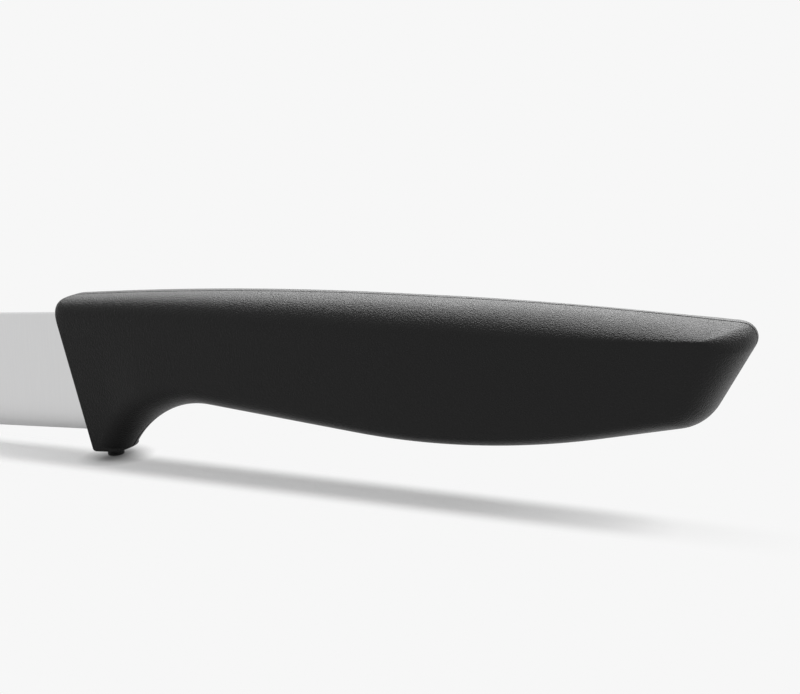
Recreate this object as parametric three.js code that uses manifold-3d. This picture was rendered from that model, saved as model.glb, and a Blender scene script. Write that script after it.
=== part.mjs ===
// Vegetable knife: a ground steel blade whose tang is held between two moulded halves of a handle.
// The knife is drawn along its spine line: x runs back from the handle's front face to the butt,
// the blade points to -x, z is measured up from the spine line, and the seam of the handle lies at y = 0.
// At the end the knife is set down on its guard and its edge, as it stands on a table. Millimetres.
import * as THREE from "three";
import { mergeVertices } from "three/addons/utils/BufferGeometryUtils.js";
import Module from "manifold-3d";

const rad = THREE.MathUtils.degToRad;

// Blade
const BLADE_LENGTH = 100; // handle front to tip, along the spine line
const BLADE_HEIGHT = 19.5; // spine to edge at the handle
const BLADE_THICKNESS = 1.5; // at the spine, and of the tang
const SHOULDER_THICKNESS = 0.5; // above the edge bevel at the handle
const EDGE_BEVEL = 1.4; // height of the sharpened bevel
const EDGE_TAPER = rad(1.3); // the straight edge closes on the spine towards the tip
const EDGE_STRAIGHT = 66; // handle front to where the edge begins to curve up
const SPINE_STRAIGHT = 38; // handle front to where the spine begins to fall
const TIP_DROP = 11; // tip below the spine line
const TIP_BLUNT = 0.5; // height of the very tip
const BLADE_STEPS = 40;

// Tang, inside the handle
const HEEL_DEPTH = 3; // how far the blade's full height goes into the handle
const HEEL_PROUD = 0.2; // unground strip in front of the handle
const TANG_LENGTH = 86;
const TANG_TOP = -1.5; // upper line of the tang, behind the heel
const TANG_TOP_END = -4.5; // and at its end
const TANG_BOTTOM = -11.5;
const TANG_BOTTOM_END = -11;
const TANG_CORNER = 1.5;

// Handle outline on the seam: where its sides would meet, and how far each corner is rounded
const FRONT_LEAN = rad(9.4); // the front face leans forward at the top
const CREST_FRONT = 2.95;
const CREST_X = 32.8;
const CREST = 3.7;
const CREST_REAR_X = 84.35;
const CREST_REAR = 0.68;
const CREST_RADIUS = 640;
const BUTT_TOP_X = 111.5;
const BUTT_TOP = -2.56;
const BUTT_LEAN = rad(32.2); // the butt slopes forward towards the underside
const HEEL_CORNER = -16.2;
const BELLY_X = 69.7;
const BELLY = -21.25;
const BELLY_RADIUS = 125;
const NOTCH_X = 15.1;
const NOTCH = -13.15;
const NOTCH_RADIUS = 17.5;
const FOOT = -22.4; // underside of the finger guard
const FOOT_LENGTH = 4.8;
const FRONT_TOP_RADIUS = 1;
const BUTT_TOP_RADIUS = 2.2;
const HEEL_RADIUS = 6;
const FOOT_REAR_RADIUS = 0.9;
const FOOT_FRONT_RADIUS = 0.5;

// Handle cross-section: half-widths, and how far in from the seam outline the flat flank begins
const FRONT_HALF_WIDTH = 5.9;
const BELLY_HALF_WIDTH = 8.4;
const BUTT_HALF_WIDTH = 8.3;
const FOOT_HALF_WIDTH = 4.2;
const GUARD_TOP = -1; // where the guard begins to narrow towards its foot
const CROWN_FRONT = 3.6;
const CROWN_MIDDLE = 5.3;
const CROWN_REAR = 4.1;
const CROWN_END = 1.6;
const BUTT_TOP_ROUNDING = 5.6;
const BUTT_ROUNDING = 4.4;
const BELLY_ROUNDING = 2.9;
const NOTCH_ROUNDING = 5;
const GUARD_ROUNDING = 6;
const GUARD_END = 3.1;
const FOOT_ROUNDING = 0.8;
const FRONT_EDGE = 0.7;
const FLANK_CORNER = 2.5; // least rounding of the flank's own corners
const FLANK_BUTT_CORNER = 0.8; // the one below the top of the butt is crisper
const ROUND = 2; // superellipse power of an ellipse; a lower one is flatter, a higher one squarer
const CROWN_FRONT_POWER = 3.2;
const CROWN_MIDDLE_POWER = 2.1;
const CROWN_REAR_POWER = 1.4;
const BUTT_POWER = 2.3;
const GUARD_POWER = 1.8;
const FOOT_POWER = 3;
const FRONT_POWER = 4;
const RING_COUNT = 12; // of points round the section

// Inside of the handle
const CLEARANCE = 0.3; // round the tang, and between pins, holes and sockets
const WALL = 2.6;
const RIB = 1.8; // between the moulded hollows
const HOLLOW_START = 24;
const HOLLOW_END = 94;
const BAYS = 8; // hollows along the handle, two of which stay solid to carry the pins
const PIN_BAYS = [1, 5];
const HOLLOW_CORNER = 1.2;
const PIN_RADIUS = 2;
const PIN_REACH = 3; // beyond the seam, into the other half
const ROUND_SIDES = 24; // of pins and holes
const CORNER_STEPS = 4; // of a small rounded corner
const OVERSHOOT = 1; // how far a cut runs past the face that it opens
const WELD = 1e-4; // points nearer than this are one

// Stub that the moulding leaves under the guard
const STUB_X = 5.3;
const STUB_RADIUS = 1.35;
const STUB_BOTTOM = -23.55;

const STEEL = new THREE.MeshStandardMaterial({ color: 0xb9babb, roughness: 0.34, metalness: 1 });
const BLACK_PLASTIC = new THREE.MeshStandardMaterial({ color: 0x141414, roughness: 0.5, metalness: 0 });

const wasm = await Module();
wasm.setup();

// A closed geometry as a solid that can be joined and cut.
function solid(geometry) {
  const bare = new THREE.BufferGeometry();
  bare.setAttribute("position", geometry.getAttribute("position"));
  bare.setIndex(geometry.getIndex());
  const merged = mergeVertices(bare, WELD);
  const vertProperties = new Float32Array(merged.getAttribute("position").array);
  const triVerts = new Uint32Array(merged.getIndex().array);
  return new wasm.Manifold(new wasm.Mesh({ numProp: 3, vertProperties, triVerts }));
}

// A named mesh from a solid.
function part(name, body, material) {
  const mesh = body.getMesh();
  const geometry = new THREE.BufferGeometry();
  geometry.setAttribute("position", new THREE.BufferAttribute(mesh.vertProperties, 3));
  geometry.setIndex(new THREE.BufferAttribute(mesh.triVerts, 1));
  geometry.computeVertexNormals();
  const piece = new THREE.Mesh(geometry, material);
  piece.name = name;
  return piece;
}

// A geometry from points and triangles.
function surface(points, triangles) {
  const geometry = new THREE.BufferGeometry();
  geometry.setAttribute("position", new THREE.Float32BufferAttribute(points.flat(), 3));
  geometry.setIndex(triangles.flat());
  return geometry;
}

// A flat outline in x and z, given a thickness from one y to another.
function plate(outline, yLow, yHigh) {
  const settings = { depth: yHigh - yLow, bevelEnabled: false };
  const geometry = new THREE.ExtrudeGeometry(new THREE.Shape(outline), settings);
  return solid(geometry.rotateX(Math.PI / 2).translate(0, yHigh, 0));
}

// A round bar along y.
function bar(x, z, radius, yLow, yHigh) {
  const geometry = new THREE.CylinderGeometry(radius, radius, yHigh - yLow, ROUND_SIDES);
  return solid(geometry.translate(x, (yLow + yHigh) / 2, z));
}

// The sides of a closed outline, and how far it turns at each corner.
const sidesOf = (corners) => corners.map((corner, i) => corners[(i + 1) % corners.length].clone().sub(corner));

function turnsOf(corners) {
  const sides = sidesOf(corners);
  return sides.map((side, i) => Math.atan2(sides.at(i - 1).cross(side), sides.at(i - 1).dot(side)));
}

// A closed outline through corners that are each rounded to a radius, with a fixed number of points
// on every arc and every side, so that two such outlines match point by point.
function roundedOutline(corners, radii, arcSteps, sideSteps) {
  const before = (i) => (i + corners.length - 1) % corners.length;
  const after = (i) => (i + 1) % corners.length;
  const sides = sidesOf(corners);
  const turns = turnsOf(corners);
  const halfTurns = turns.map((turn) => Math.tan(Math.abs(turn) / 2));
  const wanted = radii.map((radius, i) => radius * halfTurns[i]);
  const room = sides.map((side, i) => side.length() / Math.max(wanted[i] + wanted[after(i)], WELD));
  const reach = wanted.map((length, i) => length * Math.min(1, room[i], room[before(i)]));
  return corners.flatMap((corner, i) => {
    const heading = sides[before(i)].clone().normalize();
    const start = corner.clone().addScaledVector(heading, -reach[i]);
    const toLeft = new THREE.Vector2(-heading.y, heading.x);
    const centre = start.clone().addScaledVector(toLeft, (reach[i] / halfTurns[i]) * Math.sign(turns[i]));
    const points = [start];
    for (let k = 1; k <= arcSteps[i]; k++) {
      points.push(start.clone().rotateAround(centre, (turns[i] * k) / arcSteps[i]));
    }
    const from = points.at(-1);
    const along = sides[i].clone().normalize();
    const to = corners[after(i)].clone().addScaledVector(along, -reach[after(i)]);
    for (let k = 1; k < sideSteps[i]; k++) {
      points.push(from.clone().lerp(to, k / sideSteps[i]));
    }
    return points;
  });
}

// The corners of a clockwise outline, each moved in until it lies as far from the side before it as that
// side's inset at its end, and as far from the side after it as that one's inset at its start.
function movedIn(corners, insets) {
  const inward = sidesOf(corners).map((side) => new THREE.Vector2(side.y, -side.x).normalize());
  return corners.map((corner, i) => {
    const fromLast = insets.at(i - 1)[1];
    const fromNext = insets[i][0];
    const cosine = inward.at(i - 1).dot(inward[i]);
    const even = fromLast === fromNext;
    const pushLast = even ? fromLast / (1 + cosine) : (fromLast - fromNext * cosine) / (1 - cosine ** 2);
    const pushNext = even ? pushLast : (fromNext - fromLast * cosine) / (1 - cosine ** 2);
    return corner.clone().addScaledVector(inward.at(i - 1), pushLast).addScaledVector(inward[i], pushNext);
  });
}

// x of the handle's front face, and of its butt, at height z.
const frontX = (z) => -z * Math.tan(FRONT_LEAN);
const buttX = (z) => BUTT_TOP_X - (BUTT_TOP - z) * Math.tan(BUTT_LEAN);

// Corners of the handle, clockwise from the top of the front face. Each also tells about the side that
// follows it: how far in the flank begins at the side's two ends, and the power of the rounding there.
const HANDLE = [
  {
    name: "front top",
    at: new THREE.Vector2(frontX(CREST_FRONT), CREST_FRONT),
    radius: FRONT_TOP_RADIUS,
    arcSteps: 4,
    sideSteps: 1,
    inset: [CROWN_FRONT, CROWN_MIDDLE],
    power: CROWN_FRONT_POWER,
  },
  {
    name: "crest",
    at: new THREE.Vector2(CREST_X, CREST),
    radius: CREST_RADIUS,
    arcSteps: 16,
    sideSteps: 1,
    inset: [CROWN_MIDDLE, CROWN_REAR],
    power: CROWN_MIDDLE_POWER,
  },
  {
    name: "crest rear",
    at: new THREE.Vector2(CREST_REAR_X, CREST_REAR),
    radius: CREST_RADIUS,
    arcSteps: 14,
    sideSteps: 2,
    inset: [CROWN_REAR, CROWN_END],
    power: CROWN_REAR_POWER,
  },
  {
    name: "butt top",
    at: new THREE.Vector2(BUTT_TOP_X, BUTT_TOP),
    radius: BUTT_TOP_RADIUS,
    arcSteps: 10,
    sideSteps: 5,
    inset: [BUTT_TOP_ROUNDING, BUTT_ROUNDING],
    power: BUTT_POWER,
  },
  {
    name: "heel",
    at: new THREE.Vector2(buttX(HEEL_CORNER), HEEL_CORNER),
    radius: HEEL_RADIUS,
    arcSteps: 5,
    sideSteps: 2,
    inset: [BELLY_ROUNDING, BELLY_ROUNDING],
    power: ROUND,
  },
  {
    name: "belly",
    at: new THREE.Vector2(BELLY_X, BELLY),
    radius: BELLY_RADIUS,
    arcSteps: 12,
    sideSteps: 6,
    inset: [BELLY_ROUNDING, NOTCH_ROUNDING],
    power: ROUND,
  },
  {
    name: "notch",
    at: new THREE.Vector2(NOTCH_X, NOTCH),
    radius: NOTCH_RADIUS,
    arcSteps: 12,
    sideSteps: 1,
    inset: [GUARD_ROUNDING, GUARD_END],
    power: GUARD_POWER,
  },
  {
    name: "foot rear",
    at: new THREE.Vector2(frontX(FOOT) + FOOT_LENGTH, FOOT),
    radius: FOOT_REAR_RADIUS,
    arcSteps: 4,
    sideSteps: 2,
    inset: [FOOT_ROUNDING, FOOT_ROUNDING],
    power: FOOT_POWER,
  },
  {
    name: "foot front",
    at: new THREE.Vector2(frontX(FOOT), FOOT),
    radius: FOOT_FRONT_RADIUS,
    arcSteps: 4,
    sideSteps: 6,
    inset: [FRONT_EDGE, FRONT_EDGE],
    power: FRONT_POWER,
  },
];

// Half-width of the handle, widest above the belly and narrower towards the foot of the guard.
function halfWidth(x, z) {
  const atEnd = x < BELLY_X ? FRONT_HALF_WIDTH : BUTT_HALF_WIDTH;
  const span = x < BELLY_X ? BELLY_X : BUTT_TOP_X - BELLY_X;
  const wide = BELLY_HALF_WIDTH - (BELLY_HALF_WIDTH - atEnd) * ((x - BELLY_X) / span) ** 2;
  const down = THREE.MathUtils.clamp((GUARD_TOP - z) / (GUARD_TOP - FOOT), 0, 1);
  const forward = THREE.MathUtils.clamp((NOTCH_X - x) / (NOTCH_X - frontX(FOOT) - FOOT_LENGTH), 0, 1);
  return wide - (FRONT_HALF_WIDTH - FOOT_HALF_WIDTH) * down * forward;
}

const handleArcs = HANDLE.map(({ arcSteps }) => arcSteps);
const handleSides = HANDLE.map(({ sideSteps }) => sideSteps);
const seamCorners = HANDLE.map(({ at }) => at);
const seam = roundedOutline(seamCorners, HANDLE.map(({ radius }) => radius), handleArcs, handleSides);

// The edge of the flat flank: the seam outline moved in, with its own rounded corners. The crest's arcs
// reach as far along as the seam's do, a hollow corner grows as it moves in and the others shrink.
const flankCorners = movedIn(seamCorners, HANDLE.map(({ inset }) => inset));
const seamTurns = turnsOf(seamCorners);
const flankTurns = turnsOf(flankCorners);
const flankRadii = HANDLE.map(({ name, radius, inset }, i) => {
  if (name.startsWith("crest")) {
    return Math.abs((radius * Math.tan(seamTurns[i] / 2)) / Math.tan(flankTurns[i] / 2));
  }
  if (name === "butt top") return FLANK_BUTT_CORNER;
  return name === "notch" ? radius + inset[0] : Math.max(radius - inset[0], FLANK_CORNER);
});
const flank = roundedOutline(flankCorners, flankRadii, handleArcs, handleSides);

// Power of the rounding between seam and flank, for every point of the outlines: even along a side, and
// changing round a corner from one side's value to the next.
const powers = HANDLE.flatMap((corner, i) => {
  const last = HANDLE.at(i - 1).power;
  const round = Array.from({ length: corner.arcSteps + 1 }, (_, k) => {
    return THREE.MathUtils.lerp(last, corner.power, k / corner.arcSteps);
  });
  return [...round, ...Array(corner.sideSteps - 1).fill(corner.power)];
});

// Index in the outlines of the first point of the side that follows a corner.
function sideStart(name) {
  const corner = HANDLE.findIndex((each) => each.name === name);
  const steps = HANDLE.slice(0, corner).map(({ arcSteps, sideSteps }) => arcSteps + sideSteps);
  return steps.reduce((sum, count) => sum + count, HANDLE[corner].arcSteps);
}

// The solid half of the handle on one side of the seam, side -1 or 1: rings of points that go from the
// seam outline, each a step round a quarter of a superellipse, to the edge of the flank.
function halfBlank(side) {
  const count = seam.length;
  const points = [];
  for (let ring = 0; ring <= RING_COUNT; ring++) {
    const angle = (Math.PI / 2) * (ring / RING_COUNT);
    for (let i = 0; i < count; i++) {
      const inward = 1 - Math.max(Math.cos(angle), 0) ** (2 / powers[i]);
      const outward = Math.sin(angle) ** (2 / powers[i]);
      const { x, y: z } = seam[i].clone().lerp(flank[i], ring === RING_COUNT ? 1 : inward);
      points.push([x, side * halfWidth(flank[i].x, flank[i].y) * outward, z]);
    }
  }
  const triangles = THREE.ShapeUtils.triangulateShape(seam, []).map(([a, b, c]) => [a, c, b]);
  for (let ring = 0; ring < RING_COUNT; ring++) {
    for (let i = 0; i < count; i++) {
      const a = ring * count + i;
      const b = ring * count + ((i + 1) % count);
      triangles.push([a, a + count, b + count], [a, b + count, b]);
    }
  }
  triangles.push(...flankStrip(RING_COUNT * count));
  return solid(surface(points, side < 0 ? triangles : triangles.map(([a, b, c]) => [a, c, b])));
}

// Triangles across the flank, from its upper edge to its lower one, taken in turn so that each new side
// is the shorter of the two that could follow.
function flankStrip(first) {
  const count = flank.length;
  const start = sideStart("foot front");
  const end = sideStart("butt top");
  const upper = Array.from({ length: count - start + end + 1 }, (_, k) => (start + k) % count);
  const lower = Array.from({ length: start - end + 1 }, (_, k) => start - k);
  const gap = (i, j) => flank[upper[i]].distanceTo(flank[lower[j]]);
  const triangles = [];
  let i = 0;
  let j = 0;
  while (i < upper.length - 1 || j < lower.length - 1) {
    const canRise = i < upper.length - 1;
    const goUp = canRise && (j === lower.length - 1 || gap(i + 1, j) < gap(i, j + 1));
    triangles.push([upper[i], lower[j], goUp ? upper[i + 1] : lower[j + 1]]);
    if (goUp) i += 1;
    else j += 1;
  }
  const real = triangles.filter(([a, b, c]) => a !== b && b !== c && c !== a);
  return real.map((triangle) => triangle.map((index) => first + index));
}

// Tang: a full-height heel just inside the front face, then a narrower bar back into the handle.
// Corners clockwise from the top of the heel's front.
const TANG = [
  { at: new THREE.Vector2(frontX(0) - HEEL_PROUD, 0), radius: 0 },
  { at: new THREE.Vector2(frontX(0) + HEEL_DEPTH, 0), radius: 0 },
  { at: new THREE.Vector2(frontX(TANG_TOP) + HEEL_DEPTH, TANG_TOP), radius: 0 },
  { at: new THREE.Vector2(TANG_LENGTH, TANG_TOP_END), radius: TANG_CORNER },
  { at: new THREE.Vector2(TANG_LENGTH, TANG_BOTTOM_END), radius: TANG_CORNER },
  { at: new THREE.Vector2(frontX(TANG_BOTTOM) + HEEL_DEPTH, TANG_BOTTOM), radius: TANG_CORNER },
  { at: new THREE.Vector2(frontX(-BLADE_HEIGHT) + HEEL_DEPTH, -BLADE_HEIGHT), radius: 0 },
  { at: new THREE.Vector2(frontX(-BLADE_HEIGHT) - HEEL_PROUD, -BLADE_HEIGHT), radius: 0 },
];
const tangCorners = TANG.map(({ at }) => at);
const tangRadii = TANG.map(({ radius }) => radius);
const tangArcs = tangRadii.map((radius) => (radius > 0 ? CORNER_STEPS : 0));
const tangSides = TANG.map(() => 1);
const tangOutline = roundedOutline(tangCorners, tangRadii, tangArcs, tangSides);

// The slot that takes the tang: its outline with clearance all round, open through the front face.
const FRONT_SIDE = TANG.length - 1;
const slotInsets = TANG.map((_, i) => {
  const room = i === FRONT_SIDE ? OVERSHOOT : CLEARANCE;
  return [-room, -room];
});
const slotOutline = roundedOutline(movedIn(tangCorners, slotInsets), tangRadii, tangArcs, tangSides);

// Bays along the handle, and the pins in the middle of the solid ones.
const BAY = (HOLLOW_END - HOLLOW_START) / BAYS;
const bayStart = (bay) => HOLLOW_START + bay * BAY;
const pins = PIN_BAYS.map((bay) => {
  const x = bayStart(bay + 0.5);
  const share = (x - HEEL_DEPTH) / (TANG_LENGTH - HEEL_DEPTH);
  const top = THREE.MathUtils.lerp(TANG_TOP, TANG_TOP_END, share);
  const bottom = THREE.MathUtils.lerp(TANG_BOTTOM, TANG_BOTTOM_END, share);
  return { x, z: (top + bottom) / 2 };
});

// Lowest and highest point of the flank at x.
function flankSpan(x) {
  const heights = flank.flatMap((p, i) => {
    const q = flank[(i + 1) % flank.length];
    const crosses = p.x <= x !== q.x <= x;
    return crosses ? [THREE.MathUtils.mapLinear(x, p.x, q.x, p.y, q.y)] : [];
  });
  return [Math.min(...heights), Math.max(...heights)];
}

// A moulded hollow of one bay, from the wall behind the flank to past the seam.
function hollow(bay, side) {
  const x0 = bayStart(bay) + RIB / 2;
  const x1 = bayStart(bay + 1) - RIB / 2;
  const [low0, high0] = flankSpan(x0);
  const [low1, high1] = flankSpan(x1);
  const corners = [
    new THREE.Vector2(x0, high0),
    new THREE.Vector2(x1, high1),
    new THREE.Vector2(x1, low1),
    new THREE.Vector2(x0, low0),
  ];
  const all = (value) => corners.map(() => value);
  const outline = roundedOutline(corners, all(HOLLOW_CORNER), all(CORNER_STEPS), all(1));
  const depth = Math.min(halfWidth(x0, low0), halfWidth(x1, low1)) - WALL;
  return side < 0 ? plate(outline, -depth, OVERSHOOT) : plate(outline, -OVERSHOOT, depth);
}

// Half of the stub under the guard, up to the seam.
function halfStub(side) {
  const outline = new THREE.Shape();
  outline.absarc(0, 0, STUB_RADIUS, side < 0 ? Math.PI : 0, side < 0 ? 2 * Math.PI : Math.PI);
  const height = FOOT + FOOT_FRONT_RADIUS - STUB_BOTTOM;
  const settings = { depth: height, bevelEnabled: false, curveSegments: ROUND_SIDES / 2 };
  const geometry = new THREE.ExtrudeGeometry(outline, settings);
  return solid(geometry.translate(STUB_X, 0, STUB_BOTTOM));
}

// One half of the handle with its hollows, its share of the tang's slot and the stub.
function handleHalf(side) {
  const halfTang = BLADE_THICKNESS / 2;
  let half = halfBlank(side).add(halfStub(side));
  for (let bay = 0; bay < BAYS; bay++) {
    if (!PIN_BAYS.includes(bay)) half = half.subtract(hollow(bay, side));
  }
  const slot = side < 0 ? [-halfTang, OVERSHOOT] : [-OVERSHOOT, halfTang];
  return half.subtract(plate(slotOutline, ...slot));
}

// The left half carries the pins, and the right half has a socket for each.
function leftHalf() {
  const root = -BLADE_THICKNESS / 2 - WALL;
  return pins.reduce((half, { x, z }) => half.add(bar(x, z, PIN_RADIUS, root, PIN_REACH)), handleHalf(-1));
}

function rightHalf() {
  const socket = PIN_RADIUS + CLEARANCE;
  const floor = PIN_REACH + CLEARANCE;
  return pins.reduce((half, { x, z }) => half.subtract(bar(x, z, socket, -OVERSHOOT, floor)), handleHalf(1));
}

// Spine and edge of the blade at x: both straight from the handle, then curving together to the tip.
const curveShare = (x, straight) => THREE.MathUtils.clamp((-x - straight) / (BLADE_LENGTH - straight), 0, 1);
const spineZ = (x) => -TIP_DROP * curveShare(x, SPINE_STRAIGHT) ** 2;
const straightEdgeZ = (x) => -BLADE_HEIGHT + Math.max(-x, 0) * Math.tan(EDGE_TAPER);
const edgeRise = -TIP_DROP - TIP_BLUNT - straightEdgeZ(-BLADE_LENGTH);
const edgeZ = (x) => straightEdgeZ(x) + edgeRise * curveShare(x, EDGE_STRAIGHT) ** 2;

// Half-thickness of the flat-ground blade, which thins in a straight line from the spine line down.
const grind = (BLADE_THICKNESS - SHOULDER_THICKNESS) / 2 / (BLADE_HEIGHT - EDGE_BEVEL);
const halfThickness = (z) => BLADE_THICKNESS / 2 + grind * z;

// Stations along the spine line, from the tip to inside the heel. A station's section leans with the
// handle's front face there, and stands upright at the tip.
const stations = Array.from({ length: BLADE_STEPS + 1 }, (_, k) => {
  return THREE.MathUtils.lerp(-BLADE_LENGTH, HEEL_DEPTH / 2, k / BLADE_STEPS);
});
const leanX = (station, z) => station + frontX(z) * Math.min(1 + station / BLADE_LENGTH, 1);

// The ground blade: a five-cornered section at every station, with the edge as its lowest corner.
function groundBlade() {
  const points = stations.flatMap((x) => {
    const top = spineZ(x);
    const edge = edgeZ(x);
    const shoulder = edge + Math.min(EDGE_BEVEL, (top - edge) / 2);
    return [
      [leanX(x, top), -halfThickness(top), top],
      [leanX(x, top), halfThickness(top), top],
      [leanX(x, shoulder), halfThickness(shoulder), shoulder],
      [leanX(x, edge), 0, edge],
      [leanX(x, shoulder), -halfThickness(shoulder), shoulder],
    ];
  });
  const corners = 5;
  const triangles = [];
  for (let k = 0; k < BLADE_STEPS; k++) {
    for (let i = 0; i < corners; i++) {
      const a = k * corners + i;
      const b = k * corners + ((i + 1) % corners);
      triangles.push([a, a + corners, b + corners], [a, b + corners, b]);
    }
  }
  const last = BLADE_STEPS * corners;
  for (let i = 1; i < corners - 1; i++) {
    triangles.push([0, i, i + 1], [last, last + i + 1, last + i]);
  }
  return solid(surface(points, triangles));
}

// The blade with its tang, and the holes that the pins go through.
function blade() {
  const half = BLADE_THICKNESS / 2;
  const past = half + OVERSHOOT;
  const hole = PIN_RADIUS + CLEARANCE;
  const whole = groundBlade().add(plate(tangOutline, -half, half));
  return pins.reduce((body, { x, z }) => body.subtract(bar(x, z, hole, -past, past)), whole);
}

const knife = new THREE.Group();
knife.add(part("blade", blade(), STEEL));
knife.add(part("handle_left", leftHalf(), BLACK_PLASTIC));
knife.add(part("handle_right", rightHalf(), BLACK_PLASTIC));

// The knife stands on the front of the stub and on the first part of its edge that comes down.
const stubFront = STUB_X - STUB_RADIUS;
const pitch = Math.min(...stations.map((x) => {
  return Math.atan2(edgeZ(x) - STUB_BOTTOM, stubFront - leanX(x, edgeZ(x)));
}));
knife.rotation.y = -pitch;
knife.updateMatrixWorld(true);
const box = new THREE.Box3().setFromObject(knife, true);
knife.position.set(-(box.min.x + box.max.x) / 2, 0, -box.min.z);

const vegetableKnife = new THREE.Group();
vegetableKnife.add(knife);

export default vegetableKnife;
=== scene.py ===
# %% [markdown]
# # A vegetable knife
# The knife is three pieces: a ground steel blade with its tang, and the two moulded halves of a black
# plastic handle that close on the tang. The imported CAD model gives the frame: where each piece is and
# how big the whole knife may be. This lesson models each piece again with smoother surfaces, gives it a
# finish, and sets it on a pale table under a soft light.

import math

import bmesh
import bpy
from mathutils import Euler, Matrix, Vector


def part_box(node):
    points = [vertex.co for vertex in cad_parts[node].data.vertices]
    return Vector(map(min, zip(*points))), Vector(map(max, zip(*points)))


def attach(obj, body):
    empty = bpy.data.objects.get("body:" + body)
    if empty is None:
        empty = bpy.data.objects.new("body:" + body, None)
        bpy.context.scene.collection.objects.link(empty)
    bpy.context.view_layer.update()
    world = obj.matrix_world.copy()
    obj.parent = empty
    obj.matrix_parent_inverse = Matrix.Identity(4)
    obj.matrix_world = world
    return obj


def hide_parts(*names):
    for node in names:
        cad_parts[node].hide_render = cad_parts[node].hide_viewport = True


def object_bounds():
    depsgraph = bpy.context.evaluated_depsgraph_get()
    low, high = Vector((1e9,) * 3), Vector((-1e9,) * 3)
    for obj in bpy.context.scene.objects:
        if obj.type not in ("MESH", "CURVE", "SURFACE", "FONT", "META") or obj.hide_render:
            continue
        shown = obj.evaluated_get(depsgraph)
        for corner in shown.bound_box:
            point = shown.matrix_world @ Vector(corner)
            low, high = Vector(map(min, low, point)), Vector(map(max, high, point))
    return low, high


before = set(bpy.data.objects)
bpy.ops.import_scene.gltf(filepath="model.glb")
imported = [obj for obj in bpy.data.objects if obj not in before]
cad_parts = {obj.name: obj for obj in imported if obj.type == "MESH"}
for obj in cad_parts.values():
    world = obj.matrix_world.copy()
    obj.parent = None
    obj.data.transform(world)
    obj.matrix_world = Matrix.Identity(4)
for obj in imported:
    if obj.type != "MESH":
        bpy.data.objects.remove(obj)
cad_box = [list(corner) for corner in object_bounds()]
print("nodes:", sorted(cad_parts))
print("CAD box in metres:", cad_box)

# %% [markdown]
# ## The handle's outline
# A maker draws such a handle from the side first. Nine corners give the line that the seam follows:
# the top of the front face, the long bend of the crest, the slanted butt, the belly, the notch for
# the first finger and the foot of the guard. Each corner is then rounded to its own radius, some as
# tight as a fingernail and the crest's as wide as a door. Typing hundreds of points would hide that,
# so the corners and radii are the named values, and a helper draws the arcs. The numbers are in
# millimetres, measured from where the spine of the blade meets the front of the handle.

# %% Corners of the handle
MM = 0.001
FRONT_LEAN = math.radians(9.4)
FRONT_TOP = 2.95
BUTT_TOP = Vector((111.5, -2.56))
BUTT_LEAN = math.radians(32.2)
HEEL_HEIGHT = -16.2
BELLY = Vector((69.7, -21.25))
NOTCH = Vector((15.1, -13.15))
FOOT = -22.4
FOOT_LENGTH = 4.8


def front_x(z):
    """How far the leaning front face stands back at a height, in millimetres."""
    return -z * math.tan(FRONT_LEAN)


heel_x = BUTT_TOP.x - (BUTT_TOP.y - HEEL_HEIGHT) * math.tan(BUTT_LEAN)
foot_rear_x = front_x(FOOT) + FOOT_LENGTH
CORNERS = {
    "front top": Vector((front_x(FRONT_TOP), FRONT_TOP)),
    "crest": Vector((32.8, 3.7)),
    "crest rear": Vector((84.35, 0.68)),
    "butt top": BUTT_TOP,
    "heel": Vector((heel_x, HEEL_HEIGHT)),
    "belly": BELLY,
    "notch": NOTCH,
    "foot rear": Vector((foot_rear_x, FOOT)),
    "foot front": Vector((front_x(FOOT), FOOT)),
}
corner_names = list(CORNERS)
seam_corners = list(CORNERS.values())
print(len(seam_corners), "corners, heel of the butt at", round(heel_x, 2), "mm")

# %% Radii and steps
RADII = {
    "front top": 1.0,
    "crest": 640.0,
    "crest rear": 640.0,
    "butt top": 2.2,
    "heel": 6.0,
    "belly": 125.0,
    "notch": 17.5,
    "foot rear": 0.9,
    "foot front": 0.5,
}
# In the order of the corners: the steps of each rounded corner, and of the straight side after it.
ARC_STEPS = [8, 46, 44, 10, 10, 30, 30, 8, 6]
SIDE_STEPS = [3, 2, 3, 12, 4, 24, 2, 2, 12]
seam_radii = list(RADII.values())
print("steps round the outline:", sum(ARC_STEPS) + sum(SIDE_STEPS))


# %% Round the corners
def sides_and_turns(corners):
    """The sides of a closed outline, and how far it turns at each corner."""
    sides = [b - a for a, b in zip(corners, corners[1:] + corners[:1])]
    turns = [math.atan2(sides[i - 1].cross(side), sides[i - 1].dot(side)) for i, side in enumerate(sides)]
    return sides, turns


def rounded_outline(corners, radii):
    """A closed outline through corners that are each rounded to a radius, with fixed counts of points."""
    count = len(corners)
    after = [(i + 1) % count for i in range(count)]
    sides, turns = sides_and_turns(corners)
    half_turns = [math.tan(abs(turn) / 2) for turn in turns]
    wanted = [radius * half for radius, half in zip(radii, half_turns)]
    room = [sides[i].length / (wanted[i] + wanted[after[i]]) for i in range(count)]
    reach = [wanted[i] * min(1, room[i], room[i - 1]) for i in range(count)]
    points = []
    for i, corner in enumerate(corners):
        heading = sides[i - 1].normalized()
        start = corner - heading * reach[i]
        radius = math.copysign(reach[i] / half_turns[i], turns[i])
        centre = start + Vector((-heading.y, heading.x)) * radius
        for k in range(ARC_STEPS[i] + 1):
            turned = Matrix.Rotation(turns[i] * k / ARC_STEPS[i], 2) @ (start - centre)
            points.append(centre + turned)
        arc_end = points[-1]
        side_end = corners[after[i]] - sides[i].normalized() * reach[after[i]]
        for k in range(1, SIDE_STEPS[i]):
            points.append(arc_end.lerp(side_end, k / SIDE_STEPS[i]))
    return points


seam = rounded_outline(seam_corners, seam_radii)
print("seam outline:", len(seam), "points")

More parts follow.
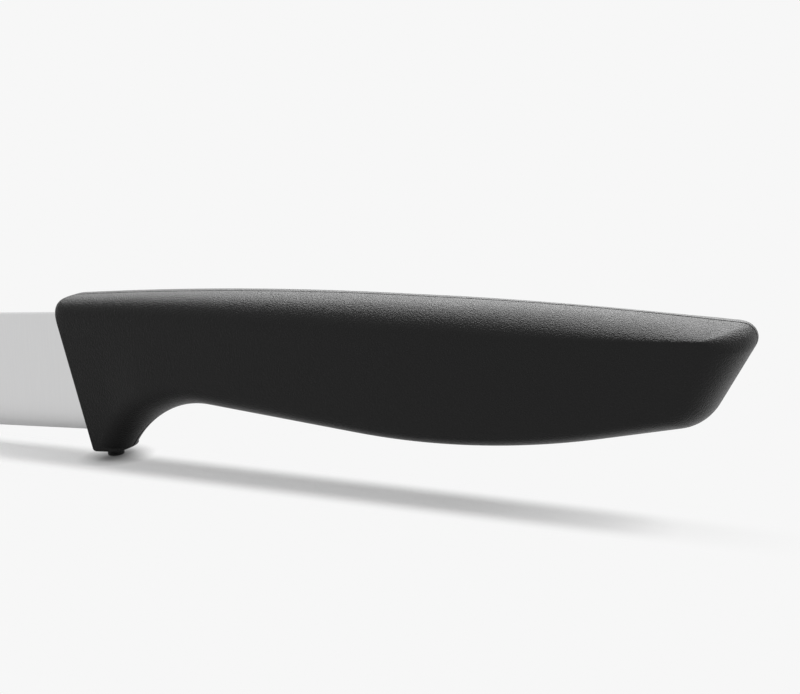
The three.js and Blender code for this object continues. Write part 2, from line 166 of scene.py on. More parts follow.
# %% [markdown]
# ## The flat flank and the rounding between
# Seen from above, the handle is a slim barrel: narrow at the front, widest over the belly. Its flanks
# are almost flat, and what joins a flank to the seam is a rounding that changes all the way round: a
# high soft crown on top that turns into a flatter facet near the butt, a small lip at the front face,
# and a fuller roll under the belly and behind the guard. So the flank gets an outline of its own, the
# seam's sides moved in by the height of the rounding there, and a superellipse joins the two. Its
# power sets the character: 2 is an ellipse, less is flatter, more is squarer.

# %% Rounding along each side: its height at the side's start and end, and its power
ROUNDING = {
    "front top": (3.6, 5.3, 3.2),
    "crest": (5.3, 4.1, 2.1),
    "crest rear": (4.1, 1.6, 1.4),
    "butt top": (5.6, 4.4, 2.3),
    "heel": (2.9, 2.9, 2.0),
    "belly": (2.9, 5.0, 2.0),
    "notch": (6.0, 3.1, 1.8),
    "foot rear": (0.8, 0.8, 3.0),
    "foot front": (0.7, 0.7, 4.0),
}
side_insets = [(start, end) for start, end, power in ROUNDING.values()]
side_powers = [power for start, end, power in ROUNDING.values()]
powers = []
for i, power in enumerate(side_powers):
    last_power = side_powers[i - 1]
    for k in range(ARC_STEPS[i] + 1):
        powers.append(last_power + (power - last_power) * k / ARC_STEPS[i])
    powers += [power] * (SIDE_STEPS[i] - 1)
print("powers from", min(powers), "to", max(powers))

# %% Outline of the flank
LEAST_RADIUS = 2.5
BUTT_FLANK_RADIUS = 0.8


def moved_in(corners, insets):
    """The corners of a clockwise outline, each moved in by the insets of the two sides that meet there."""
    inward = [Vector((side.y, -side.x)).normalized() for side in sides_and_turns(corners)[0]]
    moved = []
    for i, corner in enumerate(corners):
        last, after = insets[i - 1][1], insets[i][0]
        cosine = inward[i - 1].dot(inward[i])
        if last == after:
            push = [last / (1 + cosine)] * 2
        else:
            push = [(last - after * cosine) / (1 - cosine**2), (after - last * cosine) / (1 - cosine**2)]
        moved.append(corner + inward[i - 1] * push[0] + inward[i] * push[1])
    return moved


flank_corners = moved_in(seam_corners, side_insets)
flank_radii = [max(radius - inset[0], LEAST_RADIUS) for radius, inset in zip(seam_radii, side_insets)]
hollow = corner_names.index("notch")
flank_radii[hollow] = seam_radii[hollow] + side_insets[hollow][0]
flank_radii[corner_names.index("butt top")] = BUTT_FLANK_RADIUS
seam_turns, flank_turns = [sides_and_turns(each)[1] for each in (seam_corners, flank_corners)]
for i in (corner_names.index("crest"), corner_names.index("crest rear")):
    flank_radii[i] = seam_radii[i] * abs(math.tan(seam_turns[i] / 2) / math.tan(flank_turns[i] / 2))
flank = rounded_outline(flank_corners, flank_radii)
print("flank outline:", len(flank), "points")

# %% Half-width of the handle
FRONT_HALF_WIDTH = 5.9
BELLY_HALF_WIDTH = 8.4
BUTT_HALF_WIDTH = 8.3
FOOT_HALF_WIDTH = 4.2
GUARD_TOP = -1.0


def share(part, whole):
    """The share that a part has in a whole, kept within 0 and 1."""
    return min(max(part / whole, 0), 1)


def half_width(place):
    """Half the handle's width at a place on the flank, in millimetres: less towards the guard's foot."""
    at_end = FRONT_HALF_WIDTH if place.x < BELLY.x else BUTT_HALF_WIDTH
    span = BELLY.x if place.x < BELLY.x else BUTT_TOP.x - BELLY.x
    wide = BELLY_HALF_WIDTH - (BELLY_HALF_WIDTH - at_end) * ((place.x - BELLY.x) / span) ** 2
    down = share(GUARD_TOP - place.y, GUARD_TOP - FOOT)
    forward = share(NOTCH.x - place.x, NOTCH.x - foot_rear_x)
    return wide - (FRONT_HALF_WIDTH - FOOT_HALF_WIDTH) * down * forward


for name in ("front top", "belly", "butt top", "foot front"):
    print("width at the", name, round(2 * half_width(CORNERS[name]), 1), "mm")

# %% [markdown]
# ## Lofting by hand
# A loft is a ring of points that is extruded and reshaped, again and again, until it has swept out the
# skin. Blender has no loft tool, but the hand method is the same: add a circle, put its points on the
# first outline, extrude its edges, and move the new points to the next outline. The helper does that
# in edit mode for any list of rings. The extruded points start where the old ones are, so each is
# recognised by its place.


# %% Start clean, and move points by their place
DIGITS = 7


def start_clean():
    """Object mode with nothing selected, so that an operator meets only what is added next."""
    if bpy.context.mode != "OBJECT":
        bpy.ops.object.mode_set(mode="OBJECT")
    bpy.ops.object.select_all(action="DESELECT")


def only(piece):
    """Selects one piece and makes it the active one."""
    start_clean()
    piece.select_set(True)
    bpy.context.view_layer.objects.active = piece


def rounded(point):
    """A point's place in plain rounded numbers, to recognise it by."""
    return tuple(round(c, DIGITS) for c in point)


def place_selected(piece, old, new):
    """Moves each selected point of the mesh in edit mode from its old place to its new one."""
    mesh = bmesh.from_edit_mesh(piece.data)
    target = {rounded(Vector(a)): b for a, b in zip(old, new)}
    for point in mesh.verts:
        if point.select:
            point.co = target[rounded(point.co)]
    bmesh.update_edit_mesh(piece.data)


print("points are told apart to", 10**-DIGITS, "m")


# %% Ring by ring
def loft(name, rings):
    """An open skin through rings of points, each ring extruded from the one before."""
    start_clean()
    bpy.ops.mesh.primitive_circle_add(vertices=len(rings[0]), radius=MM)
    piece = bpy.context.active_object
    piece.name = name
    for point, place in zip(piece.data.vertices, rings[0]):
        point.co = place
    bpy.ops.object.mode_set(mode="EDIT")
    bpy.ops.mesh.select_all(action="SELECT")
    placed = [point.co.copy() for point in bmesh.from_edit_mesh(piece.data).verts]
    for ring in rings[1:]:
        bpy.ops.mesh.extrude_edges_move()
        place_selected(piece, placed, ring)
        placed = [Vector(place) for place in ring]
    bpy.ops.object.mode_set(mode="OBJECT")
    return piece


def face_outwards():
    """Turns all faces of the mesh in edit mode outwards."""
    bpy.ops.mesh.select_all(action="SELECT")
    bpy.ops.mesh.normals_make_consistent(inside=False)


def close_ends(piece):
    """Fills each open rim of a lofted skin with one face and turns all faces outwards."""
    bpy.ops.object.mode_set(mode="EDIT")
    bpy.ops.mesh.select_all(action="DESELECT")
    bpy.ops.mesh.select_mode(type="EDGE")
    bpy.ops.mesh.select_non_manifold(extend=False, use_wire=False, use_multi_face=False)
    bpy.ops.mesh.edge_face_add()
    face_outwards()
    bpy.ops.object.mode_set(mode="OBJECT")


def describe(piece):
    """How many faces a mesh has, and how many edges that don't have exactly two."""
    mesh = bmesh.new()
    mesh.from_mesh(piece.data)
    open_edges = sum(not edge.is_manifold for edge in mesh.edges)
    mesh.free()
    return f"{len(piece.data.polygons)} faces, {open_edges} open edges"


print("rings of the handle will have", len(seam), "points")

# %% [markdown]
# ## Left half of the handle
# The two halves meet at a seam that shows as a hair-thin dark line round the butt. A painted line would
# not catch the light, so the mesh gets a real groove: the first ring lies on the seam plane but sits
# back from the outline, the second is the lip of the groove, and the rest go round the superellipse
# to the flank.

# %% Rings from the seam to the flank
SECTION_STEPS = 24
GROOVE_DEPTH = 0.45
GROOVE_HALF_WIDTH = 0.2


def set_back(outline, depth):
    """An outline moved in square to itself, for a small depth."""
    points = []
    for i, point in enumerate(outline):
        along = (outline[(i + 1) % len(outline)] - outline[i - 1]).normalized()
        points.append(point + Vector((along.y, -along.x)) * depth)
    return points


def ring_at(angle):
    """A ring of the left half, part of the way from the seam, angle 0, to the flank, a quarter turn."""
    ring = []
    for outer, inner, power in zip(seam, flank, powers):
        inward = 1 - max(math.cos(angle), 0) ** (2 / power)
        outward = math.sin(angle) ** (2 / power)
        place = outer.lerp(inner, inward)
        ring.append(Vector((place.x, -half_width(inner) * outward, place.y)) * MM)
    return ring


rings = [
    [Vector((p.x, 0, p.y)) * MM for p in set_back(seam, GROOVE_DEPTH)],
    [Vector((p.x, -GROOVE_HALF_WIDTH, p.y)) * MM for p in seam],
]
rings += [ring_at(math.pi / 2 * step / SECTION_STEPS) for step in range(1, SECTION_STEPS)]
rings.append([Vector((p.x, -half_width(p), p.y)) * MM for p in flank])
left = loft("handle_half_left", rings)
print("skin of the left half:", describe(left))

# %% [markdown]
# The flank is closed with a grid. One edge of the grid follows the crest side of the flank's outline and
# the opposite edge the belly side, so the grid has as many squares along as those have steps. It is
# shaped by its own place in the plain grid, bent to the handle's width, and welded to the skin.


# %% Rails of the flank
def arc_of(name):
    """The first and the last place of a corner's arc in an outline's list of points."""
    i = corner_names.index(name)
    first = sum(ARC_STEPS[:i]) + sum(SIDE_STEPS[:i])
    return first, first + ARC_STEPS[i]


heel_start, butt_end, foot_end = arc_of("heel")[0], arc_of("butt top")[1], arc_of("foot front")[1]
top_rail = flank[: butt_end + 1]
bottom_rail = flank[heel_start : foot_end + 1][::-1]
squares_along = len(top_rail) - 1
squares_across = SIDE_STEPS[corner_names.index("foot front")]
print("rails of the flank:", len(top_rail), "and", len(bottom_rail), "points")

# %% Close the flank with a grid
WELD = 0.002 * MM
start_clean()
bpy.ops.mesh.primitive_grid_add(x_subdivisions=squares_along, y_subdivisions=squares_across, size=2)
grid = bpy.context.active_object
for point in grid.data.vertices:
    i = round((point.co.x + 1) / 2 * squares_along)
    place = bottom_rail[i].lerp(top_rail[i], (point.co.y + 1) / 2)
    point.co = Vector((place.x, -half_width(place), place.y)) * MM
left.select_set(True)
bpy.context.view_layer.objects.active = left
bpy.ops.object.join()
bpy.ops.object.mode_set(mode="EDIT")
bpy.ops.mesh.select_all(action="SELECT")
bpy.ops.mesh.remove_doubles(threshold=WELD)
bpy.ops.object.mode_set(mode="OBJECT")
close_ends(left)
print("left half:", describe(left))

# %% [markdown]
# ## Stub and slot
# Under the guard the moulding leaves a short round stub, and inside, the half is cut to take its share
# of the blade's heel and tang. Both are plain turned or flat shapes, so they are added and cut with the
# Boolean modifier, the way a machinist would drill a blank. The half stub stops a hair short of the seam
# so that the seam runs on through it.


# %% Join and cut
def combine(piece, tool, operation):
    """Joins a tool to a piece or cuts it away, and removes the tool."""
    only(piece)
    bpy.ops.object.modifier_add(type="BOOLEAN")
    boolean = piece.modifiers[-1]
    boolean.operation = operation
    boolean.solver = "EXACT"
    boolean.object = tool
    bpy.ops.object.modifier_apply(modifier=boolean.name)
    bpy.data.objects.remove(tool)


print("before the stub and the slot:", describe(left))

# %% Add the half stub
STUB_X = 5.3
STUB_RADIUS = 1.35
STUB_BOTTOM = -23.55
STUB_EDGE = 0.1
STUB_ROOT = 0.9
STUB_STEPS = 24
SEAM_GAP = 0.02


def stub_ring(radius, z):
    """Half a circle under the guard, closed along the seam."""
    angles = [math.pi + math.pi * k / STUB_STEPS for k in range(STUB_STEPS + 1)]
    return [
        Vector((STUB_X + radius * math.cos(a), min(radius * math.sin(a), 0) - SEAM_GAP, z)) * MM
        for a in angles
    ]


stub = loft(
    "half_stub",
    [
        stub_ring(STUB_RADIUS - STUB_EDGE, STUB_BOTTOM),
        stub_ring(STUB_RADIUS, STUB_BOTTOM + STUB_EDGE),
        stub_ring(STUB_RADIUS, FOOT + STUB_ROOT),
    ],
)
close_ends(stub)
combine(left, stub, "UNION")
print("with the stub:", describe(left))

# %% Outline of the slot
HEEL_DEPTH = 3.0
TANG_LENGTH = 86.0
BLADE_HEIGHT = 19.5
BLADE_THICKNESS = 1.5
TANG_TOP = (-1.5, -4.5)
TANG_BOTTOM = (-11.5, -11.0)
SLOT_ROOM = 0.04
FACE_ROOM = 0.002
OVERSHOOT = 1.0


def heel_end(z):
    """Where the slot for the heel ends at a height."""
    return front_x(z) + HEEL_DEPTH + SLOT_ROOM


slot_outline = [
    (front_x(SLOT_ROOM) - OVERSHOOT, SLOT_ROOM),
    (heel_end(SLOT_ROOM), SLOT_ROOM),
    (heel_end(TANG_TOP[0]), TANG_TOP[0] + SLOT_ROOM),
    (TANG_LENGTH + SLOT_ROOM, TANG_TOP[1] + SLOT_ROOM),
    (TANG_LENGTH + SLOT_ROOM, TANG_BOTTOM[1] - SLOT_ROOM),
    (heel_end(TANG_BOTTOM[0]), TANG_BOTTOM[0] - SLOT_ROOM),
    (heel_end(-BLADE_HEIGHT), -BLADE_HEIGHT - SLOT_ROOM),
    (front_x(-BLADE_HEIGHT) - OVERSHOOT, -BLADE_HEIGHT - SLOT_ROOM),
]
print("slot outline:", len(slot_outline), "corners")

# %% Cut the slot for the tang
slot_sides = (-BLADE_THICKNESS / 2 - FACE_ROOM, OVERSHOOT)
slot = loft("slot", [[Vector((x, y, z)) * MM for x, z in slot_outline] for y in slot_sides])
close_ends(slot)
combine(left, slot, "DIFFERENCE")
print("with the slot:", describe(left))

# %% [markdown]
# ## Right half
# The right half mirrors the left. It is a copy with its own mesh, scaled by -1 across the seam, and since
# that turns a mesh inside out its faces are turned back.

# %% Mirror the left half
only(left)
bpy.ops.object.duplicate()
right = bpy.context.active_object
right.name = "handle_half_right"
right.scale.y = -1
bpy.ops.object.transform_apply(location=False, rotation=False, scale=True)
bpy.ops.object.mode_set(mode="EDIT")
face_outwards()
bpy.ops.object.mode_set(mode="OBJECT")
print("right half:", describe(right))

# %% [markdown]
# ## The blade
# The blade is stamped from sheet, ground flat on both sides so that it thins from the spine to the edge,
# and sharpened with a narrow bevel. It is lofted too, this time along its length: a closed section at
# each station, from the tip back to the heel. The sections lean with the front of the handle, so that
# the ground face ends in a line along it, and the last rings step out to the full thickness of the heel
# and then down to the narrow tang inside the handle.

# %% Spine and edge
BLADE_LENGTH = 100.0
EDGE_TAPER = math.radians(1.3)
EDGE_STRAIGHT = 66.0
SPINE_STRAIGHT = 38.0
TIP_DROP = 11.0
TIP_BLUNT = 0.5


def curve_share(x, straight):
    """How far x is along the curved stretch towards the tip, from 0 to 1."""
    return share(-x - straight, BLADE_LENGTH - straight)


def straight_edge(x):
    """Height of the edge before it curves."""
    return -BLADE_HEIGHT + max(-x, 0) * math.tan(EDGE_TAPER)


def spine_z(x):
    """Height of the spine at x."""
    return -TIP_DROP * curve_share(x, SPINE_STRAIGHT) ** 2


def edge_z(x):
    """Height of the edge at x."""
    rise = -TIP_DROP - TIP_BLUNT - straight_edge(-BLADE_LENGTH)
    return straight_edge(x) + rise * curve_share(x, EDGE_STRAIGHT) ** 2


print("blade height at the handle:", round(spine_z(0) - edge_z(0), 2), "mm")

# %% Sections of the blade
SPINE_RADIUS = 0.22
SPINE_ARC = [math.radians(a) for a in (90, 60, 30, 0)]
SHOULDER_THICKNESS = 0.5
EDGE_BEVEL = 1.4
EDGE_WIDTH = 0.05
GRIND = (BLADE_THICKNESS - SHOULDER_THICKNESS) / 2 / (BLADE_HEIGHT - EDGE_BEVEL)
GRIND_BLEND = 2.5
FLAT_SHARES = (0.4, 0.7, 1)


def leaning_x(station, z):
    """Where a section is at a height: it leans like the front of the handle, and less towards the tip."""
    return station + front_x(z) * min(1 + station / BLADE_LENGTH, 1)


def section(station, half_profile):
    """A closed section of the blade: one side's points down, then the other side's back up."""
    right_side = [(leaning_x(station, z), y, z) for y, z in half_profile]
    left_side = [(x, -y, z) for x, y, z in reversed(right_side)]
    return [Vector(point) * MM for point in right_side + left_side]


def spine_corner(top, half):
    """The rounded corner of a spine of some half-thickness, from its top round to its side."""
    y, z = half - SPINE_RADIUS, top - SPINE_RADIUS
    return [(y + SPINE_RADIUS * math.cos(a), z + SPINE_RADIUS * math.sin(a)) for a in SPINE_ARC]


def ground_half(z):
    """Half the thickness of the ground blade at a height."""
    return BLADE_THICKNESS / 2 + GRIND * z


def ground(station):
    """A section of the ground blade."""
    top, edge = spine_z(station), edge_z(station)
    shoulder = edge + min(EDGE_BEVEL, (top - edge) / 2)
    blend = shoulder + min(GRIND_BLEND, (top - shoulder) / 2)
    sides = [(ground_half(z), z) for z in (blend, shoulder)]
    return section(station, spine_corner(top, ground_half(top)) + sides + [(EDGE_WIDTH / 2, edge)])


def flat(station, top, bottom):
    """A section of the unground heel or tang, with as many points as a ground one."""
    half = BLADE_THICKNESS / 2
    sides = [(half, top + (bottom - top) * part) for part in FLAT_SHARES]
    return section(station, spine_corner(top, half) + sides)


print("points in a section:", len(ground(0)), "and", len(flat(0, 0, -BLADE_HEIGHT)))

# %% Loft the blade
STATION_STEPS = 150
HEEL_PROUD = 0.2
ground_length = BLADE_LENGTH - HEEL_PROUD
stations = [-BLADE_LENGTH + ground_length * k / STATION_STEPS for k in range(STATION_STEPS + 1)]
blade_rings = [ground(station) for station in stations]
blade_rings.append(flat(-HEEL_PROUD, 0, -BLADE_HEIGHT))
blade_rings.append(flat(HEEL_DEPTH, 0, -BLADE_HEIGHT))
blade_rings.append(flat(HEEL_DEPTH, TANG_TOP[0], TANG_BOTTOM[0]))
tang_end = flat(TANG_LENGTH, TANG_TOP[1], TANG_BOTTOM[1])
blade_rings.append([Vector((TANG_LENGTH * MM, p.y, p.z)) for p in tang_end])
blade = loft("blade_steel", blade_rings)
close_ends(blade)
print("blade:", describe(blade))

# %% [markdown]
# ## Setting the knife down
# Everything so far is drawn along the spine line. On the table the knife stands on its stub and on its
# edge, so it is pitched a few degrees with the butt in the air. The pitch is the flattest line from the
# front of the stub to a place on the edge, and the move brings the low corner of the knife's box to that
# of the CAD model. Both are applied to the meshes, so that each object stays at the origin, and the boxes
# are compared with the CAD nodes.

# %% Pitch the knife
stub_front = STUB_X - STUB_RADIUS
slopes = []
for station in stations:
    edge = edge_z(station)
    slopes.append((edge - STUB_BOTTOM) / (stub_front - leaning_x(station, edge)))
pitch = math.atan(min(slopes))
knife = (left, right, blade)
for piece in knife:
    only(piece)
    piece.rotation_euler.y = -pitch
    bpy.ops.object.transform_apply(location=False, rotation=True, scale=False)
print("pitch of the knife:", round(math.degrees(pitch), 3), "degrees")


# %% Set it down
def box_of(pieces):
    """The low and the high corner of the box round some pieces' meshes."""
    places = [point.co for piece in pieces for point in piece.data.vertices]
    return [Vector([pick(place[k] for place in places) for k in range(3)]) for pick in (min, max)]


set_down = Vector(cad_box[0]) - box_of(knife)[0]
for piece in knife:
    only(piece)
    piece.location = set_down
    bpy.ops.object.transform_apply(location=True, rotation=False, scale=False)
for piece, node in zip(knife, ("handle_left", "handle_right", "blade")):
    low, high = box_of([piece])
    cad_low, cad_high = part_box(node)
    off = [round(c / MM, 2) for c in (*(low - cad_low), *(high - cad_high))]
    print(piece.name, "minus its CAD node, in millimetres:", off)

# %% [markdown]
# ## Smooth and crisp
# A moulded handle has no facets, and the ground face of the blade runs into its bevel without a hard line,
# but the lip of the seam and the corners of the spine are crisp. Shading smooth by angle gives both at
# once: faces that meet at a small angle are shaded as one, and the others keep their line. The blade gets
# a smaller angle than the handle, for the sake of its spine.

# %% Smooth the faces that belong together
HANDLE_CREASE = 30
BLADE_CREASE = 12
for piece, crease in ((left, HANDLE_CREASE), (right, HANDLE_CREASE), (blade, BLADE_CREASE)):
    only(piece)
    bpy.ops.object.shade_smooth_by_angle(angle=math.radians(crease))
print("edges sharper than", HANDLE_CREASE, "and", BLADE_CREASE, "degrees stay crisp")

# %% [markdown]
# ## How a finish is built
# A finish is a material made of nodes. A principled shader is the surface itself, and noises drive its
# sockets: a bump for what can be felt, a range for how rough it is, and a ramp between two colours. Both
# finishes of this knife need the same three, so each is a helper that takes a noise.


# %% Materials and nodes
def new_material(name):
    """A new material with its nodes, its links and its principled shader."""
    material = bpy.data.materials.new(name)
    material.use_nodes = True
    nodes = material.node_tree.nodes
    return material, nodes, material.node_tree.links, nodes["Principled BSDF"]


def add_node(nodes, kind, values=None):
    """A node of a kind, with the values of some of its input sockets."""
    node = nodes.new(kind)
    for socket, value in (values or {}).items():
        node.inputs[socket].default_value = value
    return node


def noise_on(nodes, links, place, values):
    """The output of a noise that lies on a place, such as the Object coordinates."""
    noise = add_node(nodes, "ShaderNodeTexNoise", values)
    links.new(place, noise.inputs["Vector"])
    return noise.outputs["Fac"]


print("helpers for materials, nodes and noises are ready")


# %% What a noise drives
def bump(nodes, links, shader, value, strength, depth):
    """Lets a noise's value stand up from the surface, by a strength and a depth."""
    relief = add_node(nodes, "ShaderNodeBump", {"Strength": strength, "Distance": depth})
    links.new(value, relief.inputs["Height"])
    links.new(relief.outputs["Normal"], shader.inputs["Normal"])


def vary_roughness(nodes, links, shader, value, low, high):
    """Lets the roughness follow a noise's value, between a low and a high one."""
    spread = add_node(nodes, "ShaderNodeMapRange", {"To Min": low, "To Max": high})
    links.new(value, spread.inputs["Value"])
    links.new(spread.outputs["Result"], shader.inputs["Roughness"])


def vary_colour(nodes, links, shader, value, dark, light):
    """Lets the colour follow a value, from a dark to a light one, and returns that colour."""
    ramp = add_node(nodes, "ShaderNodeValToRGB")
    ramp.color_ramp.elements[0].color = dark
    ramp.color_ramp.elements[1].color = light
    links.new(value, ramp.inputs["Fac"])
    links.new(ramp.outputs["Color"], shader.inputs["Base Color"])
    return ramp.outputs["Color"]


print("a noise can drive relief, roughness and colour")

# %% [markdown]
# ## Black plastic
# The handle is moulded in black plastic against a spark-eroded tool, which leaves a fine matt grain: tiny
# soft pits that only show where light grazes the top. Colour alone would look like paint, so the grain is
# a bump from a noise at the size of the pits, which also tints them a little. A second, slower noise lets
# the roughness wander as moulded skin does.

# %% Make the plastic
PITS_PER_METRE = 4500
PIT_DEPTH = 0.21 * MM
PIT_STRENGTH = 0.8
CLOUDS_PER_METRE = 120
PLASTIC_ROUGHNESS = (0.34, 0.4)
PLASTIC_BLACKS = ((0.004, 0.004, 0.004, 1), (0.006, 0.006, 0.006, 1))
plastic, nodes, links, shader = new_material("grained_black_plastic")
shader.inputs["Specular IOR Level"].default_value = 0.2
place = add_node(nodes, "ShaderNodeTexCoord").outputs["Object"]
grain = noise_on(nodes, links, place, {"Scale": PITS_PER_METRE, "Detail": 1, "Roughness": 0.6})
bump(nodes, links, shader, grain, PIT_STRENGTH, PIT_DEPTH)
vary_colour(nodes, links, shader, grain, *PLASTIC_BLACKS)
cloud = noise_on(nodes, links, place, {"Scale": CLOUDS_PER_METRE, "Detail": 2})
vary_roughness(nodes, links, shader, cloud, *PLASTIC_ROUGHNESS)
print("made", plastic.name, "with", len(nodes), "nodes")

# %% [markdown]
# ## Satin steel
# The blade is ground, then finished with a fine abrasive belt that runs across it, so its scratches are
# much longer across the blade than along it. One noise stretched by a Mapping node gives that: it
# changes quickly along the blade and slowly from spine to edge.

# %% Make the steel
SCRATCHES_PER_METRE = (9000, 900, 160)
SCRATCH_DEPTH = 0.004 * MM
SCRATCH_STRENGTH = 0.12
STEEL_ROUGHNESS = (0.28, 0.38)
STEEL_GREYS = ((0.64, 0.64, 0.645, 1), (0.7, 0.7, 0.7, 1))
steel, nodes, links, shader = new_material("satin_steel")
shader.inputs["Metallic"].default_value = 1
place = add_node(nodes, "ShaderNodeTexCoord").outputs["Object"]
stretch = add_node(nodes, "ShaderNodeMapping", {"Scale": SCRATCHES_PER_METRE})
links.new(place, stretch.inputs["Vector"])
scratch = noise_on(nodes, links, stretch.outputs["Vector"], {"Scale": 1, "Detail": 4})
bump(nodes, links, shader, scratch, SCRATCH_STRENGTH, SCRATCH_DEPTH)
vary_colour(nodes, links, shader, scratch, *STEEL_GREYS)
vary_roughness(nodes, links, shader, scratch, *STEEL_ROUGHNESS)
print("made", steel.name, "with", len(nodes), "nodes")

# %% [markdown]
# ## Joining the frame
# The imported model holds a plain solid for each piece of the knife. The finished piece takes that solid's
# place and rides on the same body, so that the knife in the picture and the knife in a simulation stay
# one object.

# %% Put the finishes on and join the frame
for piece, material, node, slot_name in (
    (left, plastic, "handle_left", "black_plastic"),
    (right, plastic, "handle_right", "black_plastic"),
    (blade, steel, "blade", "steel"),
):
    piece.data.materials.clear()
    piece.data.materials.append(material)
    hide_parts(node)
    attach(piece, "root")
    print(piece.name, "stands for", node)

# %% [markdown]
# ## Table
# A catalogue photograph is printed with its table washed out to paper white, and only the heart of the
# shadow is left. The table does the same. It is a wide matt plane, and away from the shadow the rays that
# end in the picture, straight or by way of the steel, meet plain paper white. In a soft band along the
# knife they meet the lit table, which keeps the knife's own shadow. Shade is also painted into the colour:
# it dims within a few millimetres of whatever stands on the table, the painted dark contact under the
# guard.
# In the gloss that painted shade reaches further, as it did on the table before the print was washed out.

# %% Lay the table
TABLE_SIZE = 8
start_clean()
bpy.ops.mesh.primitive_plane_add(size=TABLE_SIZE)
table = bpy.context.active_object
table.name = "table"
white, nodes, links, shader = new_material("white_table")
shader.inputs["Roughness"].default_value = 1
shader.inputs["Specular IOR Level"].default_value = 0
table.data.materials.append(white)
print("table", table.dimensions[:])

# %% Paint shade into the table's colour close to what stands on it
PAPER = (0.93, 0.93, 0.93, 1)
DEEPEST_PAINTED_SHADE = (0.01, 0.01, 0.01, 1)
PAINTED_CONTACT_REACH = 3.5 * MM
SHADE_IN_GLOSS = 15 * MM
# Painted shade: an ambient occlusion node darkens the table's colour towards near black close to the
# knife, a short way for the picture and further in the gloss.
path = add_node(nodes, "ShaderNodeLightPath")
reach = add_node(nodes, "ShaderNodeMapRange", {"To Min": PAINTED_CONTACT_REACH, "To Max": SHADE_IN_GLOSS})
links.new(path.outputs["Is Glossy Ray"], reach.inputs["Value"])
painted_shade = add_node(nodes, "ShaderNodeAmbientOcclusion")
links.new(reach.outputs["Result"], painted_shade.inputs["Distance"])
painted_shade_colour = vary_colour(nodes, links, shader, painted_shade.outputs["AO"], DEEPEST_PAINTED_SHADE, PAPER)
print("contact shade reaches", PAINTED_CONTACT_REACH / MM, "mm, and", SHADE_IN_GLOSS / MM, "mm in the gloss")


# %% Sums of nodes, and the rays that end in the picture
def calculate(nodes, links, operation, *values, clamp=False):
    """The result of a Math node, from values that are numbers or the outputs of other nodes."""
    node = add_node(nodes, "ShaderNodeMath")
    node.operation = operation
    node.use_clamp = clamp
    for socket, value in zip(node.inputs, values):
        if isinstance(value, bpy.types.NodeSocket):
            links.new(value, socket)
        else:
            socket.default_value = value
    return node.outputs["Value"]


def rays_to_picture(nodes, links):
    """An output that is 1 for camera, glossy and transmission rays, and 0 for other light."""
    path = add_node(nodes, "ShaderNodeLightPath")
    total = path.outputs["Is Camera Ray"]
    for kind in ("Is Glossy Ray", "Is Transmission Ray"):
        total = calculate(nodes, links, "ADD", total, path.outputs[kind], clamp=True)
    return total


print("nodes of the table so far:", len(nodes))

# %% Wash the table out away from the shadow
SHADOW_LINE = -4.2 * MM
SHADOW_HEART = 1.5 * MM
SHADOW_EDGE = 7.5 * MM
place = add_node(nodes, "ShaderNodeTexCoord").outputs["Object"]
axes = add_node(nodes, "ShaderNodeSeparateXYZ")
links.new(place, axes.inputs["Vector"])
aside = calculate(nodes, links, "SUBTRACT", axes.outputs["Y"], SHADOW_LINE)
distance = calculate(nodes, links, "ABSOLUTE", aside)
heart_to_edge = {"From Min": SHADOW_HEART, "From Max": SHADOW_EDGE}
washed = add_node(nodes, "ShaderNodeMapRange", heart_to_edge)
washed.interpolation_type = "SMOOTHSTEP"
links.new(distance, washed.inputs["Value"])
seen = rays_to_picture(nodes, links)
paper_share = calculate(nodes, links, "MULTIPLY", washed.outputs["Result"], seen)
# The paper white glows in the same colour, so it carries the painted contact shade too.
paper = add_node(nodes, "ShaderNodeEmission")
links.new(painted_shade_colour, paper.inputs["Color"])
choose = add_node(nodes, "ShaderNodeMixShader")
links.new(paper_share, choose.inputs["Fac"])
links.new(shader.outputs["BSDF"], choose.inputs[1])
links.new(paper.outputs["Emission"], choose.inputs[2])
links.new(choose.outputs["Shader"], nodes["Material Output"].inputs["Surface"])
print("shadow kept within", SHADOW_EDGE / MM, "mm of its line")

# %% [markdown]
# ## Light
# The shadow tells where the light is. It lies a little in front of the knife, so the light comes from
# above and a little behind, and it fades towards the butt, so the light is a long softbox that reaches far
# out to the right. A row of sun lamps stands for it. Each is aimed by its slope, how far back and right it
# comes from for each step up, so the row keeps one line behind the knife. A fill that casts no shadow
# lifts the dark of this one, and together they light the table at the plain level.
# The crown of the handle mirrors a pale wall that stands further back. One more lamp, linked to the
# handle alone, gives that gleam, and the others stay out of the gloss.

# %% Softbox and fill
PLAIN_LIGHT = math.pi
SOFTBOX_BACK = 0.233
SOFTBOX_RIGHT = (0.42, 0.6, 0.85, 1.25, 1.9)
SOFTBOX_SHARE = 0.082
SOFTBOX_WIDTH = 12
FILL_SHARE = 0.59
FILL_WIDTH = 60


def lamp(name, part, slope_back, slope_right, width):
    """A sun lamp that gives the table a part of the plain light, and looks so many degrees wide."""
    start_clean()
    towards = Vector((slope_right, slope_back, 1)).normalized()
    bpy.ops.object.light_add(type="SUN", rotation=towards.to_track_quat("Z", "Y").to_euler())
    sun = bpy.context.active_object
    sun.name = name
    sun.data.energy = PLAIN_LIGHT * part / towards.z
    sun.data.angle = math.radians(width)
    sun.visible_glossy = False
    return sun


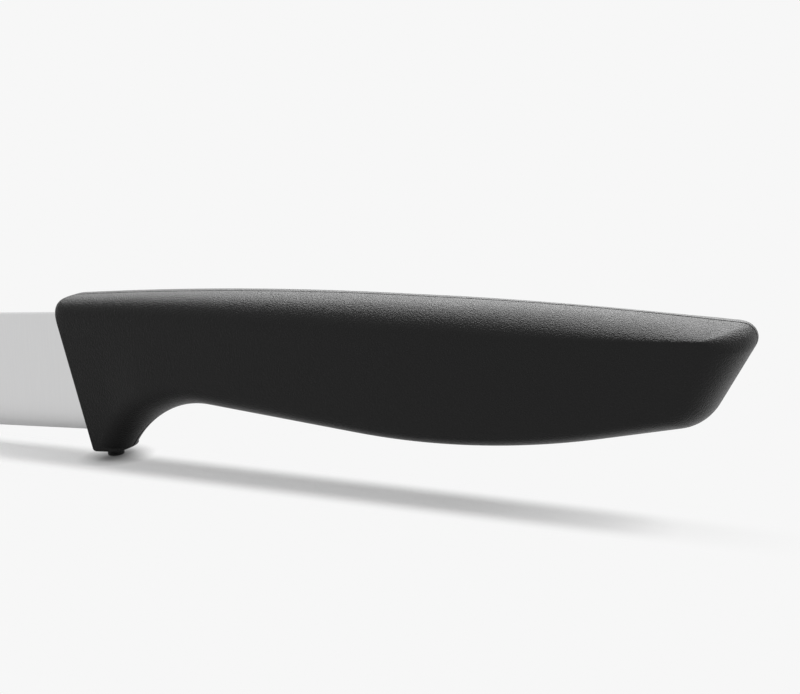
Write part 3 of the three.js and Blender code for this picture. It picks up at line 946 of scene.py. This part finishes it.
for number, slope in enumerate(SOFTBOX_RIGHT):
    lamp(f"softbox_{number + 1}", SOFTBOX_SHARE, SOFTBOX_BACK, slope, SOFTBOX_WIDTH)
fill = lamp("fill", FILL_SHARE, 0, 0, FILL_WIDTH)
fill.data.use_shadow = False
print("the table gets", round(len(SOFTBOX_RIGHT) * SOFTBOX_SHARE + FILL_SHARE, 3), "of the plain light")

# %% Gleam on the crown
GLEAM_SHARE = 0.43
GLEAM_BACK = 1.3
GLEAM_RIGHT = -0.25
GLEAM_WIDTH = 55
gleam = lamp("gleam", GLEAM_SHARE, GLEAM_BACK, GLEAM_RIGHT, GLEAM_WIDTH)
gleam.visible_glossy = True
grip = bpy.data.collections.new("grip")
for half in (left, right):
    grip.objects.link(half)
gleam.light_linking.receiver_collection = grip

# %% [markdown]
# ## Room and camera
# The room behind the table is the same paper white, and like the table's it shows only to the rays that
# end in the picture, so it adds no light. The camera looks down on the middle of the handle from a little
# behind the butt, about a hand's span away. From so close the knife grows smaller towards the blade, and
# the blade runs out of the picture.

# %% Room
scene = bpy.context.scene
scene.world = bpy.data.worlds.new("room")
scene.world.use_nodes = True
nodes, links = scene.world.node_tree.nodes, scene.world.node_tree.links
room = nodes["Background"]
room.inputs["Color"].default_value = PAPER
links.new(rays_to_picture(nodes, links), room.inputs["Strength"])
print("room", room.inputs["Color"].default_value[:3])

# %% Camera
AIM = Vector((51.665, 0, 21.973)) * MM
DISTANCE = 240 * MM
AZIMUTH = math.radians(22)
ELEVATION = math.radians(12)
LENS = 72.18
SENSOR = 36
NEAREST = 10 * MM
start_clean()
turn = Euler((math.pi / 2 - ELEVATION, 0, AZIMUTH))
backwards = turn.to_matrix() @ Vector((0, 0, 1))
bpy.ops.object.camera_add(location=AIM + backwards * DISTANCE, rotation=turn)
camera = bpy.context.active_object
camera.data.sensor_width = SENSOR
camera.data.lens = LENS
camera.data.clip_start = NEAREST
scene.camera = camera
scene.view_settings.view_transform = "Standard"
print("camera", camera.location[:], "lens", camera.data.lens)
